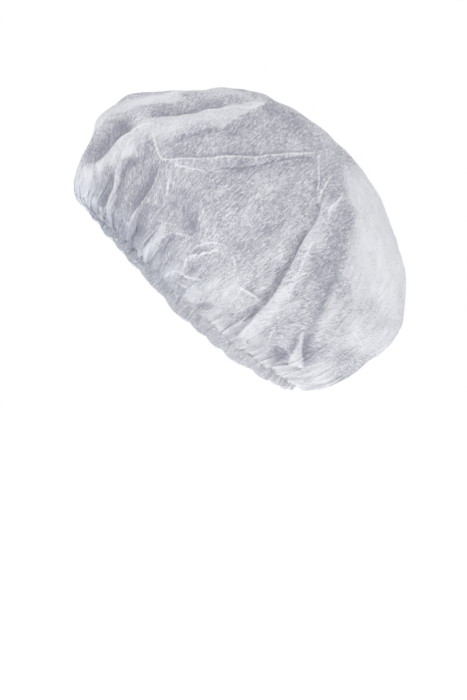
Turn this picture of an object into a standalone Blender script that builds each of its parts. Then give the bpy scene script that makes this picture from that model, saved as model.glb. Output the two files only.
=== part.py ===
"""Bouffant cap: a gathered dome of non-woven cloth held round a head by a hidden elastic.

Units are metres and +Z is up. The wearer faces -Y, and the wearer's left side is +X. The cap is
shown worn, so its opening faces down and forward. Each piece is modelled square to the opening:
there x is the wearer's left, y runs from the forehead edge to the nape edge, and z rises out of
the opening into the crown. The head_opening empty then tips all of them to the worn angle.
"""

from collections import namedtuple
from math import cos, exp, floor, hypot, pi, radians, sin, tanh

import bmesh
import bpy
from mathutils import Vector

# Worn angle of the opening: how far the nape edge hangs below the forehead edge.
OPENING_TILT = radians(41.4)

# The gathered edge as the elastic holds it round the head.
EDGE_LENGTH = 0.217
EDGE_WIDTH = 0.150
EDGE_DIP = 0.0135
EDGE_DIP_LEAN = 0.4

# The puffed crown, measured from the middle of the opening.
FRONT_REACH = 0.154
BACK_REACH = 0.145
FLANK_REACH = 0.104
CROWN_HEIGHT = 0.1745
PEAK_SETBACK = -0.008
PEAK_TIGHTNESS = 3
BACK_FULLNESS = 0.07

# Cloth, casing and elastic. The slack is the casing's spare height over the elastic, and the
# shoulder is how far the crown goes straight up past the casing before it puffs out.
CLOTH_WALL = 0.001
ELASTIC_HEIGHT = 0.0035
ELASTIC_THICKNESS = 0.001
HEM_SLACK = 0.0008
CROWN_SHOULDER = 0.0009
SEAT_GAP = 0.0003

# Gathers: pleats that the elastic draws up all round the edge.
GATHER_COUNT = 44
EDGE_GATHER = 0.0008
CROWN_GATHER = 0.0021
GATHER_PEAK = 0.09
GATHER_FADE = 0.20

# How much of the gathers the casing's inner side keeps.
LEG_RUFFLE = 0.4

# The casing's heights from its underside, and its depths from the crown's outer face.
ELASTIC_FOOT = CLOTH_WALL + SEAT_GAP
LIP_UNDER = ELASTIC_FOOT + ELASTIC_HEIGHT + HEM_SLACK
HEM_TOP = LIP_UNDER + CLOTH_WALL
CROWN_FOOT = CLOTH_WALL + SEAT_GAP
CROWN_BAND_TOP = HEM_TOP + CROWN_SHOULDER
LIP_END = CLOTH_WALL + SEAT_GAP
ELASTIC_FACE = LIP_END + EDGE_GATHER
ELASTIC_BACK = ELASTIC_FACE + ELASTIC_THICKNESS
LEG_FACE = ELASTIC_BACK + SEAT_GAP + LEG_RUFFLE * EDGE_GATHER
LEG_BACK = LEG_FACE + CLOTH_WALL

# Mesh steps round the cap and up it.
STEPS_PER_GATHER = 2
RING_COUNT = 26
STEPS_ROUND = GATHER_COUNT * STEPS_PER_GATHER

# One row for each level of the crown, from the gathered edge to the peak. "along" is the share of
# the way up the cloth and "grip" is the share of the edge's own size that the level keeps. A swell
# is a share of the front, back or flank reach, and a rise is a share of CROWN_HEIGHT.
Level = namedtuple("Level", "along grip front_swell front_rise back_swell back_rise side_swell side_rise")
LEVELS = (
    Level(0.00, 1.00, 1.00, 0.00, 1.00, 0.00, 1.00, 0.00),
    Level(0.05, 0.70, 1.00, 0.00, 1.00, 0.05, 0.92, 0.06),
    Level(0.10, 0.44, 0.98, 0.04, 1.00, 0.11, 0.94, 0.09),
    Level(0.15, 0.26, 0.98, 0.11, 1.00, 0.19, 0.96, 0.13),
    Level(0.20, 0.14, 0.98, 0.19, 0.99, 0.27, 0.98, 0.18),
    Level(0.25, 0.06, 0.98, 0.27, 0.99, 0.35, 0.99, 0.24),
    Level(0.30, 0.00, 1.00, 0.35, 1.00, 0.43, 1.00, 0.30),
    Level(0.40, 0.00, 0.96, 0.51, 0.97, 0.57, 0.98, 0.45),
    Level(0.50, 0.00, 0.84, 0.64, 0.86, 0.70, 0.92, 0.59),
    Level(0.60, 0.00, 0.70, 0.75, 0.71, 0.81, 0.82, 0.72),
    Level(0.70, 0.00, 0.56, 0.86, 0.54, 0.89, 0.67, 0.83),
    Level(0.80, 0.00, 0.39, 0.94, 0.36, 0.955, 0.49, 0.92),
    Level(0.90, 0.00, 0.20, 0.985, 0.18, 0.99, 0.26, 0.975),
    Level(1.00, 0.00, 0.00, 1.00, 0.00, 1.00, 0.00, 1.00),
)

# One row for each large fold. A path is the fold's line as seen from the cap's side. Each point
# has a share of the back reach behind the middle of the opening, or with a minus a share of the
# front reach before it, and a share of CROWN_HEIGHT. "height" is how far the fold stands out of the
# crown, in shares of CROWN_HEIGHT, with a minus for a hollow. "width" is half the fold's width, in
# shares of FLANK_REACH. A "lap" is a ledge where one layer hangs over the next: the cloth stands
# proud behind its path and is sunk in front of it.
Fold = namedtuple("Fold", "side kind height width path")
LEFT, RIGHT = 1, -1
FOLDS = (
    Fold(LEFT, "round", 0.026, 0.10, ((-0.88, 0.16), (-0.79, 0.43), (-0.62, 0.67), (-0.38, 0.92))),
    Fold(LEFT, "round", -0.034, 0.12, ((-0.91, 0.24), (-0.75, 0.55), (-0.55, 0.80))),
    Fold(LEFT, "round", -0.020, 0.07, ((-0.64, 0.47), (-0.47, 0.68))),
    Fold(LEFT, "round", -0.018, 0.06, ((-0.58, 0.41), (-0.28, 0.67), (0.02, 0.91))),
    Fold(LEFT, "round", 0.020, 0.07, ((-0.76, 0.30), (-0.71, 0.17), (-0.64, 0.06))),
    Fold(LEFT, "round", 0.020, 0.07, ((-0.56, 0.34), (-0.51, 0.22), (-0.49, 0.07))),
    Fold(LEFT, "round", 0.018, 0.07, ((-0.34, 0.20), (-0.33, 0.02))),
    Fold(LEFT, "round", -0.022, 0.09, ((-0.18, 0.18), (0.00, 0.32))),
    Fold(LEFT, "round", 0.024, 0.11, ((0.00, 0.16), (0.14, 0.24), (0.30, 0.19))),
    Fold(LEFT, "lap", 0.060, 0.17, ((0.15, 0.85), (0.26, 0.62), (0.31, 0.30), (0.28, 0.02))),
    Fold(LEFT, "round", -0.024, 0.10, ((0.50, 0.30), (0.48, 0.10))),
    Fold(LEFT, "round", 0.022, 0.07, ((0.57, 0.26), (0.66, 0.11))),
    Fold(LEFT, "round", 0.026, 0.09, ((0.37, 0.86), (0.62, 0.74), (0.72, 0.60), (0.74, 0.36))),
    Fold(LEFT, "round", -0.024, 0.10, ((0.78, 0.62), (0.84, 0.36), (0.74, 0.16))),
    Fold(RIGHT, "round", 0.026, 0.11, ((-0.84, 0.18), (-0.68, 0.58), (-0.34, 0.90))),
    Fold(RIGHT, "round", -0.030, 0.12, ((-0.68, 0.20), (-0.49, 0.58), (-0.21, 0.88))),
    Fold(RIGHT, "round", 0.022, 0.09, ((-0.44, 0.12), (-0.32, 0.50), (-0.11, 0.84))),
    Fold(RIGHT, "round", -0.022, 0.10, ((-0.12, 0.12), (-0.06, 0.46), (-0.02, 0.80))),
    Fold(RIGHT, "lap", 0.048, 0.16, ((0.18, 0.74), (0.25, 0.56), (0.32, 0.28), (0.34, 0.04))),
    Fold(RIGHT, "round", -0.024, 0.10, ((0.60, 0.12), (0.66, 0.44), (0.44, 0.80))),
    Fold(RIGHT, "round", 0.024, 0.09, ((0.84, 0.20), (0.80, 0.54), (0.54, 0.80))),
)

# A fold dies out this far from the cap's middle line, in shares of FLANK_REACH.
MIDDLE_FADE = 0.22
# A lap's ledge takes up this share of its width, and its sunk side this share of its height.
LAP_STEP = 0.5
LAP_SINK = 0.8


def between_levels(along, column):
    """The value of one column of LEVELS at a share of the way up, on a smooth curve."""
    last = len(LEVELS) - 2
    low = next((i for i in range(last, -1, -1) if LEVELS[i].along <= along), 0)
    span = LEVELS[low + 1].along - LEVELS[low].along
    t = (along - LEVELS[low].along) / span

    def value(i):
        return getattr(LEVELS[i], column)

    def slope(i):
        before, after = max(i - 1, 0), min(i + 1, last + 1)
        return (value(after) - value(before)) / (LEVELS[after].along - LEVELS[before].along) * span

    start, end = value(low), value(low + 1)
    bend = (1 - t) * (slope(low) - (end - start)) - t * (slope(low + 1) - (end - start))
    return start + t * (end - start) + t * (1 - t) * bend


def edge_dip(turn):
    """How far the gathered edge dips over the ears, more behind them than in front."""
    return EDGE_DIP * sin(turn) ** 2 * (1 - EDGE_DIP_LEAN * cos(turn))


def crown_point(turn, along):
    """A point of the smooth crown. turn runs from 0 at the forehead, through the left side."""
    grip = between_levels(along, "grip")
    end_name, reach = ("front", FRONT_REACH) if cos(turn) > 0 else ("back", BACK_REACH)
    end_rise = between_levels(along, end_name + "_rise") * CROWN_HEIGHT
    side_rise = between_levels(along, "side_rise") * CROWN_HEIGHT
    end_swell = between_levels(along, end_name + "_swell")
    side_swell = between_levels(along, "side_swell")
    length = grip * EDGE_LENGTH / 2 + (1 - grip) * end_swell * reach
    width = grip * EDGE_WIDTH / 2 + (1 - grip) * side_swell * FLANK_REACH
    backward = -cos(turn)
    return Vector((
        sin(turn) * width * (1 + (1 - grip) * BACK_FULLNESS * backward),
        backward * length + PEAK_SETBACK * along**PEAK_TIGHTNESS,
        end_rise * backward**2 + side_rise * sin(turn) ** 2 - grip * edge_dip(turn),
    ))


def outward(turn, along):
    """The direction out of the smooth crown at a point."""
    step = 0.01
    upper = min(along + step, 1 - step)
    up = crown_point(turn, upper) - crown_point(turn, upper - step)
    around = crown_point(turn + step, upper - step) - crown_point(turn - step, upper - step)
    return around.cross(up).normalized()


def gather_wave(turn):
    """-1 to 1 round the edge: one valley and one crest to each gather, no two quite alike."""
    place = turn / (2 * pi) * GATHER_COUNT
    crest = 1 - 4 * abs(place - floor(place) - 0.5)
    unevenness = 0.78 + 0.22 * sin(5 * turn + 0.6) * cos(3 * turn)
    return crest * unevenness


def gather_height(turn, along):
    """How far the gathers push the crown's cloth out: least at the hem, most just above it."""
    rise = min(along / GATHER_PEAK, 1)
    fade = exp(-(max(along - GATHER_PEAK, 0) / GATHER_FADE) ** 2)
    return gather_wave(turn) * (EDGE_GATHER + (CROWN_GATHER - EDGE_GATHER) * rise) * fade


def distance_to_path(point, path):
    """Distance from a side-view point to a path, minus when the point lies in front of it."""
    nearest = None
    for (y0, z0), (y1, z1) in zip(path, path[1:]):
        run_y, run_z = y1 - y0, z1 - z0
        share = ((point[0] - y0) * run_y + (point[1] - z0) * run_z) / (run_y**2 + run_z**2)
        share = min(max(share, 0), 1)
        off_y, off_z = point[0] - y0 - share * run_y, point[1] - z0 - share * run_z
        far = hypot(off_y, off_z)
        if nearest is None or far < abs(nearest):
            nearest = far if off_y * run_z - off_z * run_y < 0 else -far
    return nearest


def side_view(length_share, height_share):
    """A fold's path point in metres, from its shares of a reach and of the crown's height."""
    reach = BACK_REACH if length_share > 0 else FRONT_REACH
    return length_share * reach, height_share * CROWN_HEIGHT


def fold_height(point):
    """How far the large folds push the crown out at a point of the smooth crown."""
    side = LEFT if point.x > 0 else RIGHT
    seen = (point.y, point.z)
    total = 0.0
    for fold in FOLDS:
        if fold.side != side:
            continue
        path = [side_view(*shares) for shares in fold.path]
        off = distance_to_path(seen, path) / (fold.width * FLANK_REACH)
        if fold.kind == "lap":
            proud = tanh(off / LAP_STEP) * exp(-abs(off)) * (LAP_SINK if off < 0 else 1)
        else:
            proud = exp(-(off**2))
        total += proud * fold.height * CROWN_HEIGHT
    return total * (1 - exp(-((point.x / (MIDDLE_FADE * FLANK_REACH)) ** 2)))


def edge_point(turn, inset, height, ruffle):
    """A point of the casing: inset from the cloth's outer face, height above its lower edge."""
    half_length, half_width = EDGE_LENGTH / 2, EDGE_WIDTH / 2
    out = Vector((sin(turn) * half_length, -cos(turn) * half_width, 0)).normalized()
    rim = Vector((sin(turn) * half_width, -cos(turn) * half_length, -edge_dip(turn)))
    push = ruffle * EDGE_GATHER * gather_wave(turn) - inset
    return rim + out * push + Vector((0, 0, height))


def turns():
    """The angles of the mesh steps round the cap."""
    return [2 * pi * step / STEPS_ROUND for step in range(STEPS_ROUND)]


def new_piece(name, mesh, material, parent):
    """An object that holds the mesh, shaded smooth, in the opening's own axes."""
    piece = bpy.data.objects.new(name, mesh)
    bpy.context.collection.objects.link(piece)
    mesh.materials.append(material)
    mesh.shade_smooth()
    piece.parent = parent
    return piece


def cloth_or_rubber(name, color, roughness):
    """A plain material of one colour, with no metal in it."""
    material = bpy.data.materials.new(name)
    material.use_nodes = True
    shader = material.node_tree.nodes["Principled BSDF"]
    shader.inputs["Base Color"].default_value = (*color, 1)
    shader.inputs["Roughness"].default_value = roughness
    shader.inputs["Metallic"].default_value = 0
    return material


def make_crown(parent, material):
    """The dome: a straight band at the edge, then rings of cloth up to the peak, with a wall."""
    mesh = bmesh.new()
    band = (CROWN_FOOT, CROWN_BAND_TOP)
    rings = [[edge_point(turn, 0, height, 1) for turn in turns()] for height in band]
    for ring in range(1, RING_COUNT):
        along = ring / RING_COUNT
        points = []
        for turn in turns():
            point = crown_point(turn, along)
            push = gather_height(turn, along) + fold_height(point)
            points.append(point + outward(turn, along) * push)
        rings.append(points)
    rows = [[mesh.verts.new(point) for point in ring] for ring in rings]
    for lower, upper in zip(rows, rows[1:]):
        for i in range(STEPS_ROUND):
            j = (i + 1) % STEPS_ROUND
            mesh.faces.new((lower[i], lower[j], upper[j], upper[i]))
    peak = mesh.verts.new(crown_point(0, 1))
    for i in range(STEPS_ROUND):
        mesh.faces.new((rows[-1][i], rows[-1][(i + 1) % STEPS_ROUND], peak))
    bmesh.ops.recalc_face_normals(mesh, faces=mesh.faces)
    data = bpy.data.meshes.new("crown")
    mesh.to_mesh(data)
    mesh.free()
    crown = new_piece("crown", data, material, parent)
    wall = crown.modifiers.new("cloth wall", "SOLIDIFY")
    wall.thickness = CLOTH_WALL
    wall.offset = -1
    wall.use_even_offset = True
    return crown


def make_loop(name, section, parent, material):
    """A closed loop round the edge: each section point is (inset, height, ruffle)."""
    mesh = bmesh.new()
    hoops = [[mesh.verts.new(edge_point(turn, *corner)) for corner in section] for turn in turns()]
    for i, hoop in enumerate(hoops):
        following = hoops[(i + 1) % STEPS_ROUND]
        for a in range(len(section)):
            b = (a + 1) % len(section)
            mesh.faces.new((hoop[a], hoop[b], following[b], following[a]))
    bmesh.ops.recalc_face_normals(mesh, faces=mesh.faces)
    data = bpy.data.meshes.new(name)
    mesh.to_mesh(data)
    mesh.free()
    return new_piece(name, data, material, parent)


def make_hem(parent, material):
    """The turned-in edge: under the crown's lower edge, up inside and back to its inner face."""
    section = (
        (0, CLOTH_WALL, 1),
        (LEG_FACE, CLOTH_WALL, LEG_RUFFLE),
        (LEG_FACE, LIP_UNDER, LEG_RUFFLE),
        (LIP_END, LIP_UNDER, 1),
        (LIP_END, HEM_TOP, 1),
        (LEG_BACK, HEM_TOP, LEG_RUFFLE),
        (LEG_BACK, 0, LEG_RUFFLE),
        (0, 0, 1),
    )
    return make_loop("hem", section, parent, material)


def make_elastic_band(parent, material):
    """The flat elastic: it stands on edge in the casing, resting on the hem's floor."""
    top = ELASTIC_FOOT + ELASTIC_HEIGHT
    section = (
        (ELASTIC_FACE, ELASTIC_FOOT, 0),
        (ELASTIC_BACK, ELASTIC_FOOT, 0),
        (ELASTIC_BACK, top, 0),
        (ELASTIC_FACE, top, 0),
    )
    return make_loop("elastic_band", section, parent, material)


def main():
    for old in list(bpy.data.objects):
        bpy.data.objects.remove(old)
    opening = bpy.data.objects.new("head_opening", None)
    bpy.context.collection.objects.link(opening)
    opening.rotation_euler = (-OPENING_TILT, 0, 0)
    cloth = cloth_or_rubber("nonwoven cloth", (0.72, 0.73, 0.77), 0.75)
    folded_cloth = cloth_or_rubber("doubled cloth", (0.60, 0.62, 0.68), 0.75)
    elastic = cloth_or_rubber("white elastic", (0.85, 0.85, 0.84), 0.6)
    make_crown(opening, cloth)
    make_hem(opening, folded_cloth)
    make_elastic_band(opening, elastic)


main()
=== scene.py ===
"""Looks of a bouffant cap: sheer non-woven cloth, gathered on a hidden elastic.

Laid out as a Blender add-on and run as a script. Units are metres. The frame gives the cap's
solids. The cloth of the crown and of the hem is made here in full detail, in the same place.
"""

from collections import namedtuple
from math import cos, pi, radians, sin

import bpy
import numpy as np
from bpy.props import FloatProperty, FloatVectorProperty, IntProperty, PointerProperty
from bpy.types import Operator, Panel, PropertyGroup
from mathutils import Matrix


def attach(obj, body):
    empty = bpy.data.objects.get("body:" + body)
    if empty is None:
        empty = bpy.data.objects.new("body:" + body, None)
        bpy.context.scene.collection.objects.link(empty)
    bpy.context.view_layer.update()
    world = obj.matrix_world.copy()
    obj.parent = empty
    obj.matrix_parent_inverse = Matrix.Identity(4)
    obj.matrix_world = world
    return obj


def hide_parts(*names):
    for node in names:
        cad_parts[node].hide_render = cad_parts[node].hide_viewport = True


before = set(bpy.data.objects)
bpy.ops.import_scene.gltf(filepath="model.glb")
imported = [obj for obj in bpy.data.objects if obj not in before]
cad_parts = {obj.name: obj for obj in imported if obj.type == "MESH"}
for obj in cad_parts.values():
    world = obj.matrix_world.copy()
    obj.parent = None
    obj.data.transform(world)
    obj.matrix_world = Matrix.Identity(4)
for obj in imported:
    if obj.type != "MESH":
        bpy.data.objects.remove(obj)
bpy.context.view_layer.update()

bl_info = {
    "name": "Bouffant Cap",
    "version": (1, 0, 0),
    "blender": (4, 5, 0),
    "location": "View3D > Sidebar > Bouffant Cap",
    "description": "Makes the gathered cloth of a bouffant cap, its materials and a plain stage",
    "category": "Object",
}

MM = 1e-3

# The cap's own axes, as in its solids: +X is its left side, +Y runs from the front edge to the
# back edge, and +Z rises out of the opening. The cap is then tipped by OPENING_TILT.
OPENING_TILT = radians(41.4)

# The gathered edge: its length and width, and how far it dips at the sides, more at the back.
EDGE_LENGTH = 0.217
EDGE_WIDTH = 0.150
EDGE_DIP = 0.0135
EDGE_DIP_LEAN = 0.4

# The crown: how far it reaches from the middle, its height, how far forward its peak sits and
# how closely the crown follows it, and how much fuller the back is.
FRONT_REACH = 0.154
BACK_REACH = 0.145
SIDE_REACH = 0.104
CROWN_HEIGHT = 0.1745
PEAK_SETBACK = -0.008
PEAK_TIGHTNESS = 3
BACK_FULLNESS = 0.07

# The casing round the elastic, and the flat disc that the cloth is cut from, less its turn-in.
SHOULDER_HEIGHT = 0.0076
CASING_HEIGHT = 0.0067
CASING_START = 0.0005
CLOTH_DIAMETER = 0.573

# One row for each level of the crown, from the gathered edge to the peak: how far up it is, how
# much of the edge's size it still has, and shares of the reaches and of the height.
Level = namedtuple(
    "Level", "along grip front_swell front_rise back_swell back_rise side_swell side_rise")
LEVELS = [Level(*row) for row in (
    (0.00, 1.00, 1.00, 0.00, 1.00, 0.00, 1.00, 0.00),
    (0.05, 0.70, 1.00, 0.00, 1.00, 0.05, 0.92, 0.06),
    (0.10, 0.44, 0.98, 0.04, 1.00, 0.11, 0.94, 0.09),
    (0.15, 0.26, 0.98, 0.11, 1.00, 0.19, 0.96, 0.13),
    (0.20, 0.14, 0.98, 0.19, 0.99, 0.27, 0.98, 0.18),
    (0.25, 0.06, 0.98, 0.27, 0.99, 0.35, 0.99, 0.24),
    (0.30, 0.00, 1.00, 0.35, 1.00, 0.43, 1.00, 0.30),
    (0.40, 0.00, 0.96, 0.51, 0.97, 0.57, 0.98, 0.45),
    (0.50, 0.00, 0.84, 0.64, 0.86, 0.70, 0.92, 0.59),
    (0.60, 0.00, 0.70, 0.75, 0.71, 0.81, 0.82, 0.72),
    (0.70, 0.00, 0.56, 0.86, 0.54, 0.89, 0.67, 0.83),
    (0.80, 0.00, 0.39, 0.94, 0.36, 0.955, 0.49, 0.92),
    (0.90, 0.00, 0.20, 0.985, 0.18, 0.99, 0.26, 0.975),
    (1.00, 0.00, 0.00, 1.00, 0.00, 1.00, 0.00, 1.00),
)]

# One row for each fold, drawn on one side of the cap as seen from that side. A path's points are
# hundredths of the back reach, or with a minus of the front reach, and of the crown's height.
# The fold lies on the left of its path as seen from the cap's left side. height, width and edge
# are in millimetres: how far it stands out, or with a minus sinks in, how far from its path it
# lasts, and how soft its edge on the path is. tone is how much whiter the cloth is painted there,
# or with a minus how much greyer. In part it is the cloth's own density, in part painted shade
# in hollows, grooves and beside laps, painted highlights along ridges, and painted light that
# lifts the shade along the lower edge.
Fold = namedtuple("Fold", "side height width edge tone path")
LEFT, BOTH, RIGHT = 1, 0, -1
FOLDS = [Fold(*row) for row in (
    # the long ridge at the front, and the painted shade of the hollows along it
    (LEFT, 2.1, 19, 1.2, 0.30, ((-37, 93), (-53, 75), (-67, 60), (-79, 43), (-84, 22), (-87, 13))),
    (LEFT, -2, 18, 1.2, -0.55, ((-87, 13), (-84, 22), (-82, 35), (-78, 44))),
    (LEFT, -1.3, 10, 1.2, -0.38, ((-77, 47), (-67, 60), (-56, 72), (-50, 78))),
    (LEFT, -1.2, 3.2, 1, -0.34, ((-62, 44), (-56, 53), (-48, 65), (-46, 70))),
    (LEFT, -1, 9, 3, -0.20, ((-54, 42), (-49, 49), (-45, 56))),
    (LEFT, 0, 17, 1.5, -0.30, ((-36, 95), (-39, 84), (-41, 78), (-44, 72), (-48, 65))),
    (BOTH, 0, 12, 3, 0.30, ((-98, 24), (-96, 37), (-86, 51), (-70, 70))),
    # the darker cloth at the front, and the gathers on it, with painted highlights on their crests
    # and painted shade in their hollows
    (LEFT, 0, 50, 8, -0.14, ((-46, 34), (-59, 31), (-71, 27), (-80, 16))),
    (LEFT, 0, 36, 5, -0.16, ((-23, 41), (-39, 33), (-54, 20))),
    (LEFT, 0, 32, 6, -0.20, ((-38, 22), (-51, 16), (-64, 10))),
    (LEFT, 1.6, 8, 1.2, 0.24, ((-57, 2), (-63, 10), (-69, 22), (-71, 30), (-70, 38))),
    (LEFT, -1.4, 7, 1.2, -0.32, ((-71, 34), (-71, 28), (-66, 16), (-60, 6))),
    (LEFT, -1.6, 9, 1.2, -0.42, ((-62, 5), (-69, 12), (-76, 24))),
    (LEFT, -1, 5, 1.2, -0.32, ((-75, 10), (-70, 7), (-63, 1))),
    (BOTH, 0, 14, 3, 0.20, ((-66, 1), (-76, 6), (-82, 9), (-86, 17))),
    (BOTH, 0, 11, 2, 0.34, ((-93, 15), (-89, 9), (-84, 3), (-79, 0), (-70, -1))),
    (LEFT, -1.2, 8, 1.2, -0.32, ((-69, 25), (-66, 31), (-60, 43))),
    (LEFT, -1.7, 13, 0.8, -0.42, ((-50, 12), (-51, 20), (-53, 30), (-56, 38))),
    (LEFT, 1.2, 7, 1.2, 0.18, ((-50, 28), (-50, 18), (-50, 0))),
    (LEFT, -1.3, 9, 1.6, -0.34, ((-45, 15), (-44, 6), (-43, -3))),
    (LEFT, -1.2, 6, 1.2, -0.38, ((-36, 17), (-36, 10), (-36, 2))),
    # the folded strip low on the flank, in front, and the painted shade of the hollow behind it
    (LEFT, 1.7, 8, 1, 0.42, ((-36, 20), (-35, 9), (-34, 2), (-32, -6))),
    (LEFT, -1.4, 8, 1.2, -0.32, ((-25, 21), (-29, 14), (-29, 9), (-28, 1))),
    # the soft wrinkles low on the flank, behind it, with painted highlights on their crests and
    # painted shade in their hollows
    (LEFT, 1.2, 26, 5, 0.08, ((-6, -5), (12, 6), (29, 16))),
    (LEFT, 0, 34, 2.5, 0.11, ((31, 18), (24, 18), (18, 19), (11, 21), (3, 24))),
    (LEFT, -0.6, 9, 0.8, -0.44, ((32, 19), (27, 12), (23, 4))),
    (LEFT, 0, 6, 0.8, -0.22, ((14, 19), (24, 19), (33, 19))),
    (LEFT, 0, 8, 1, -0.22, ((-16, 19), (-19, 22), (-23, 27), (-27, 31))),
    (LEFT, 1, 4, 1.6, 0.25, ((-2, 27), (-9, 21), (-15, 12))),
    (LEFT, -1, 5, 1.2, -0.28, ((-16, 11), (-12, 17), (-6, 23))),
    (LEFT, 0.9, 4, 1.2, 0.22, ((-18, 27), (-21, 21), (-23, 15))),
    (LEFT, -1, 9, 1.2, -0.30, ((-11, 15), (-12, 10), (-12, 5))),
    (LEFT, 0.8, 5, 1.2, 0.22, ((-15, -5), (-17, 2), (-14, 8))),
    (LEFT, -1, 9, 1.2, -0.26, ((2, -7), (9, -1), (15, 5))),
    (LEFT, -1.2, 8, 2.5, -0.25, ((-24, 18), (-26, 25), (-30, 33))),
    (LEFT, 0, 18, 3, -0.20, ((-12, 17), (-16, 22), (-18, 26), (-24, 33))),
    (LEFT, 0.9, 5, 2, 0.22, ((-41, 17), (-45, 24), (-54, 36))),
    (LEFT, 0.9, 5, 2, 0.18, ((-40, 22), (-45, 30), (-49, 39))),
    # the groove that runs level to the back, with painted shade in it and a painted highlight on
    # the ridge beside it
    (LEFT, 1, 6, 1, 0.14, ((1, 90), (-29, 63), (-44, 50), (-54, 41))),
    (LEFT, -0.9, 3.4, 1, -0.28, ((-52, 43), (-44, 51), (-29, 63), (0, 89))),
    (LEFT, -1, 4.2, 1, -0.28, ((5, 90), (-6, 78), (-20, 63), (-30, 54))),
    # the top edge with a painted sheen, the darker cloth under it, and the painted shade of the
    # hollow behind
    (BOTH, 0, 9, 2, 0.20, ((-43, 92), (-64, 81), (-81, 66), (-91, 49))),
    (LEFT, 0, 24, 3, -0.08, ((-1, 88), (-15, 76), (-29, 63), (-37, 54))),
    (LEFT, 0, 32, 3, -0.10, ((-47, 47), (-33, 60), (-18, 75))),
    (BOTH, -1, 14, 5, -0.24, ((3, 90), (-10, 93), (-25, 94), (-40, 89))),
    # the painted shadow of the large lap, its whiter double cloth, and the painted shade of the
    # hollow behind it
    (LEFT, 0, 11, 0.8, -0.38, ((35, 17), (33, 33), (28, 51), (25, 62))),
    (LEFT, 0, 5, 0.8, -0.34, ((30, 44), (27, 55), (24, 65), (14, 80))),
    (LEFT, -1.3, 7, 2, -0.35, ((18, 70), (14, 75), (7, 84))),
    (LEFT, -0.6, 8, 1, -0.26, ((32, 5), (33, 11), (34, 18))),
    (LEFT, 0, 15, 0.8, 0.27, ((18, 76), (24, 65), (28, 51), (33, 33), (35, 19), (32, -2))),
    (LEFT, 1, 22, 5, 0.12, ((29, 6), (40, 1), (53, -1))),
    (LEFT, 0.9, 4, 1.2, 0.20, ((25, 83), (25, 74), (28, 66))),
    (LEFT, -0.8, 8, 2, -0.22, ((23, 71), (22, 77), (17, 84))),
    (LEFT, 0, 34, 8, -0.20, ((62, 40), (56, 55), (45, 68), (28, 81))),
    # the painted shade of the hollows beside the small doubled triangle
    (LEFT, -1.4, 11, 1.2, -0.26, ((63, 10), (60, 17), (56, 25))),
    (LEFT, -1.4, 8, 1.2, -0.30, ((57, 25), (64, 17), (72, 9))),
    (LEFT, -1.3, 18, 1.2, -0.36, ((66, 10), (57, 11), (46, 8))),
    # the lighter cloth that hangs behind, and painted light that lifts the shade along the lower
    # edge
    (BOTH, 0, 95, 9, 0.38, (
        (10, 97), (24, 88), (37, 77), (48, 64), (56, 51), (60, 39), (64, 30), (69, 22), (78, 12))),
    (BOTH, 0, 80, 6, -0.24, ((48, 57), (55, 39), (61, 23), (71, 6))),
    (LEFT, 0, 34, 6, -0.12, ((29, 56), (34, 39), (38, 27))),
    (BOTH, 0, 14, 3, 0.14, ((7, -7), (24, -6), (55, -4))),
    (BOTH, 0, 18, 2, 0.30, ((46, -4), (72, 0), (84, 5), (95, 14))),
    (LEFT, 0, 19, 2.5, 0.24, ((74, 6), (80, 10), (84, 16), (88, 23))),
    (LEFT, 0, 22, 3, 0.14, ((-6, -3), (12, -5), (31, -5))),
    (LEFT, 1.3, 12, 2.5, 0.07, ((32, 87), (49, 80), (60, 73), (73, 63))),
    (LEFT, 1, 8, 2, 0.08, ((72, 79), (76, 65), (79, 53))),
    (LEFT, 1, 8, 2, 0.06, ((79, 41), (86, 36), (87, 27))),
    # the right side, with painted highlights on its ridges, painted shade in its hollows and the
    # painted shadow of its lap
    (RIGHT, 2, 12, 1.2, 0.22, ((-88, 12), (-80, 36), (-58, 62), (-30, 88))),
    (RIGHT, -2, 12, 1.2, -0.32, ((-34, 84), (-58, 62), (-78, 40), (-86, 16))),
    (RIGHT, -1.3, 9, 1.2, -0.32, ((-44, 4), (-50, 26), (-44, 48))),
    (RIGHT, 1.6, 9, 1.2, 0.20, ((-42, 46), (-47, 26), (-40, 0))),
    (RIGHT, 1.4, 8, 1.2, 0.22, ((-66, 36), (-66, 20), (-58, 2))),
    (RIGHT, -1.4, 8, 1.2, -0.30, ((-60, 4), (-70, 20), (-70, 34))),
    (RIGHT, -1.3, 9, 2, -0.26, ((-26, 2), (-20, 16), (-24, 32))),
    (RIGHT, 1.2, 18, 4, 0.18, ((22, 16), (10, 6), (-6, -4))),
    (RIGHT, 1, 6, 1, 0.16, ((-56, 50), (-28, 62), (2, 70), (20, 70))),
    (RIGHT, -1, 4, 1, -0.28, ((18, 70), (2, 70), (-28, 62), (-52, 51))),
    (RIGHT, 0, 12, 0.8, -0.38, ((36, 10), (35, 26), (32, 46), (26, 64))),
    (RIGHT, 0, 14, 0.8, 0.25, ((24, 68), (32, 46), (35, 26), (35, 0))),
    (RIGHT, -1.3, 10, 2, -0.26, ((50, 34), (54, 20), (52, 6))),
    (RIGHT, 1.4, 8, 1.2, 0.20, ((50, 2), (58, 20), (54, 44))),
    (RIGHT, 1.3, 12, 2.5, 0.07, ((76, 60), (58, 76), (34, 88))),
)]
# A fold is full up to FOLD_FULL of its width, and fades over the last FOLD_ENDS of its path. A
# wide one's tone fades over FOLD_END_SHARE of its width there, and goes TONE_SPILL past its edge.
# Relief fades out within MIDDLE_FADE of the middle plane, and the tones of one side within
# TONE_FADE. Tones that overlap lie on sheets of their own, TONE_SHEETS at most.
FOLD_FULL, FOLD_ENDS, FOLD_END_SHARE = 0.35, 0.012, 0.3
LEAST_EDGE, TONE_SPILL = 0.0026, 0.003
MIDDLE_FADE, TONE_FADE = 0.023, 0.016
TONE_SHEETS = 8

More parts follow.
